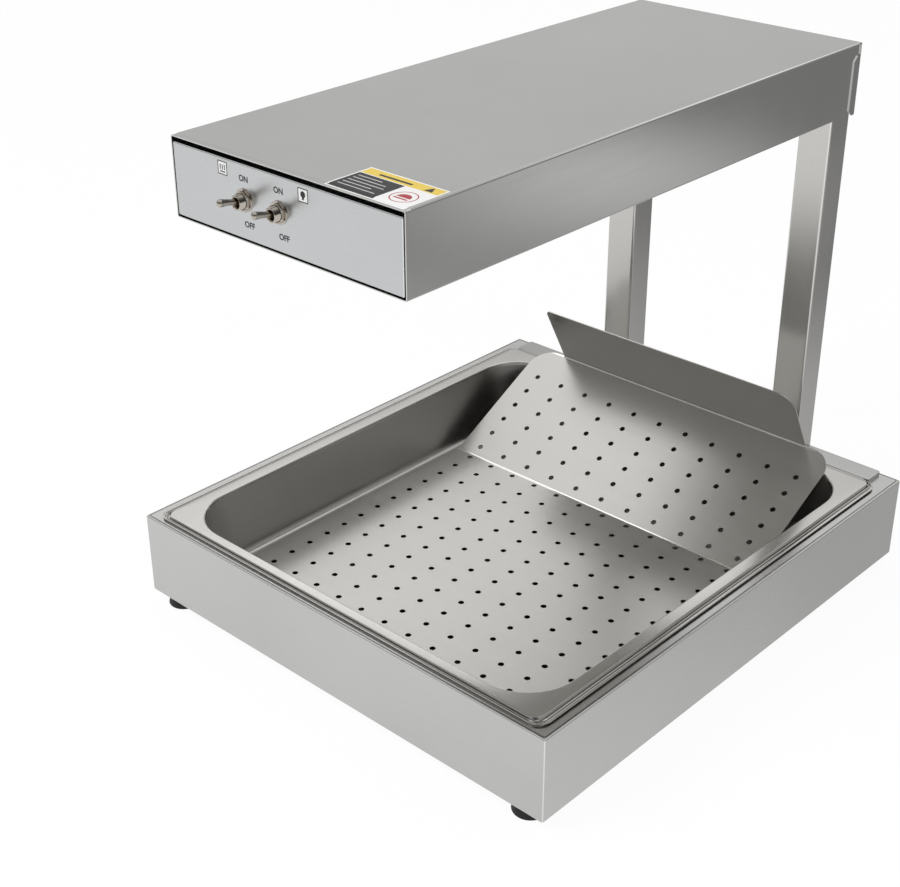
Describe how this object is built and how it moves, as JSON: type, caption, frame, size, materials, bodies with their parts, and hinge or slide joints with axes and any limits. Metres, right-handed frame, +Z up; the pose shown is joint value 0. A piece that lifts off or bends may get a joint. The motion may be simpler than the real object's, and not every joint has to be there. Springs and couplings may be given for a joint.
{
  "type": "french fry dump station",
  "caption": "Countertop fry warmer: heated steel base with a lift-out pan and perforated ramped tray, under an overhead infrared hood on two square posts.",
  "frame": {"origin": "middle of the bounding box, at the floor under the feet", "axes": "+Z up, +X to the right seen from the switches, +Y from the switches back to the posts"},
  "size_m": [0.48, 0.6136, 0.483],
  "materials": {
    "stainless_brushed": "brushed stainless sheet",
    "stainless_front": "finely brushed stainless sheet",
    "stainless_polished": "bright reflector sheet",
    "stainless_pan": "satin drawn stainless",
    "stainless_tray": "satin stainless sheet",
    "nickel": "nickel plated",
    "zinc": "zinc plated",
    "aluminium": "mill finish plate",
    "rubber": "moulded black rubber",
    "black_plastic": "moulded black",
    "silicone": "red-brown silicone heating pad",
    "ceramic": "unglazed steatite",
    "insulation": "pressed mineral fibre board",
    "quartz": "quartz tube"
  },
  "bodies": {
    "station": {"base_shell": "stainless_brushed", "base_bottom_plate": "zinc", "rear_deck": "stainless_brushed", "foot_front_left": "rubber", "foot_front_right": "rubber", "foot_rear_left": "rubber", "foot_rear_right": "rubber", "foot_screw_front_left": "zinc", "foot_screw_front_right": "zinc", "foot_screw_rear_left": "zinc", "foot_screw_rear_right": "zinc", "bottom_screw_front_left": "zinc", "bottom_screw_front_right": "zinc", "bottom_screw_rear_left": "zinc", "bottom_screw_rear_right": "zinc", "insulation_board": "insulation", "heater_pad": "silicone", "heater_plate": "aluminium", "limit_thermostat": "black_plastic", "terminal_block": "black_plastic", "cable_gland": "black_plastic", "cable_gland_locknut": "black_plastic", "post_left": "stainless_brushed", "post_right": "stainless_brushed", "post_plate_left": "stainless_brushed", "post_plate_right": "stainless_brushed", "post_bolt_left_1": "zinc", "post_bolt_left_2": "zinc", "post_bolt_right_1": "zinc", "post_bolt_right_2": "zinc", "wiring_loom": "black_plastic", "hood_shell": "stainless_brushed", "hood_front_panel": "stainless_front", "hood_rear_cover": "stainless_brushed", "hood_bottom_panel": "stainless_brushed", "lamp_reflector": "stainless_polished", "lamp_guard_left": "nickel", "lamp_guard_right": "nickel", "cover_screw_1": "zinc", "cover_screw_2": "zinc", "cover_screw_3": "zinc", "cover_screw_4": "zinc", "infrared_lamp_left": "quartz", "infrared_lamp_right": "quartz", "lamp_holder_left_front": "ceramic", "lamp_holder_left_rear": "ceramic", "lamp_holder_right_front": "ceramic", "lamp_holder_right_rear": "ceramic", "switch_body_left": "black_plastic", "switch_body_right": "black_plastic", "switch_bushing_left": "nickel", "switch_bushing_right": "nickel", "switch_washer_left": "nickel", "switch_washer_right": "nickel", "switch_nut_left": "nickel", "switch_nut_right": "nickel"},
    "pan": {"pan": "stainless_pan"},
    "tray": {"perforated_tray": "stainless_tray"},
    "lever_left": {"switch_lever_left": "nickel"},
    "lever_right": {"switch_lever_right": "nickel"}
  },
  "joints": [
    {"name": "pan_lift", "type": "slide", "parent": "station", "child": "pan", "axis": [0, 0, 1], "range_m": [0, 0.09]},
    {"name": "tray_lift", "type": "slide", "parent": "pan", "child": "tray", "axis": [0, 0, 1], "range_m": [0, 0.075]},
    {"name": "lever_left_toggle", "type": "hinge", "parent": "station", "child": "lever_left", "pos_m": [-0.042, -0.28421, 0.45], "axis": [1, 0, 0], "range_deg": [0, 22]},
    {"name": "lever_right_toggle", "type": "hinge", "parent": "station", "child": "lever_right", "pos_m": [-0.004, -0.28421, 0.45], "axis": [1, 0, 0], "range_deg": [0, 22]}
  ]
}
